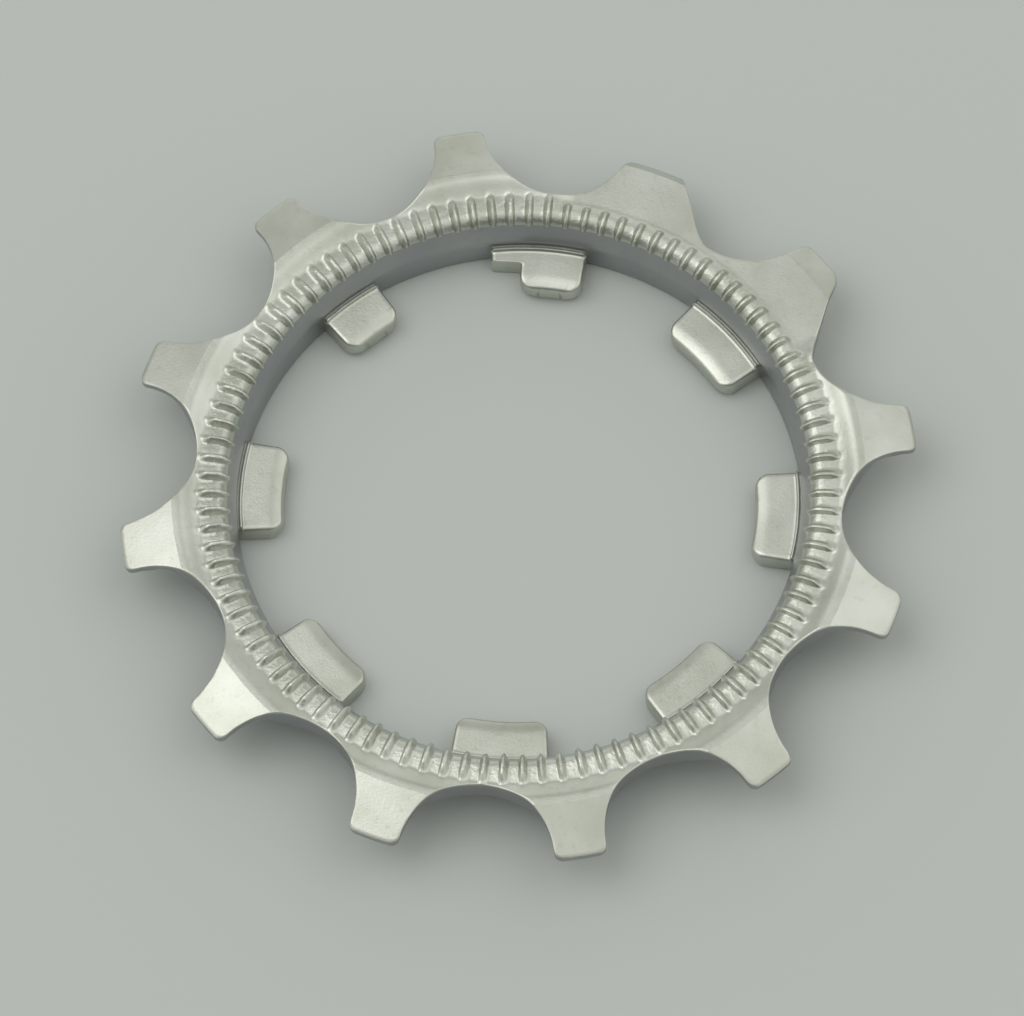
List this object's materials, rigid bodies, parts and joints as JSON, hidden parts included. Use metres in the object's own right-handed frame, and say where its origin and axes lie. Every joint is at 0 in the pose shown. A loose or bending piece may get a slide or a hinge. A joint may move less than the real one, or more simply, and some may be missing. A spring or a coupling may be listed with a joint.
{
  "type": "cassette sprocket",
  "caption": "Small toothed bicycle cassette ring with a spacing collar, inward spline tabs and a ridged seat for the lockring.",
  "frame": {"origin": "on the bore's axis, in the plane of the collar's lower edge, where the ring rests", "axes": "+Z along the bore axis, out of the ridged seat towards the lockring; +X through the middle of a whole spline tab"},
  "size_m": [0.0502, 0.0502, 0.0049],
  "materials": {
    "plated_steel": "satin nickel plate"
  },
  "bodies": {
    "root": {"sprocket": "plated_steel"}
  },
  "joints": []
}
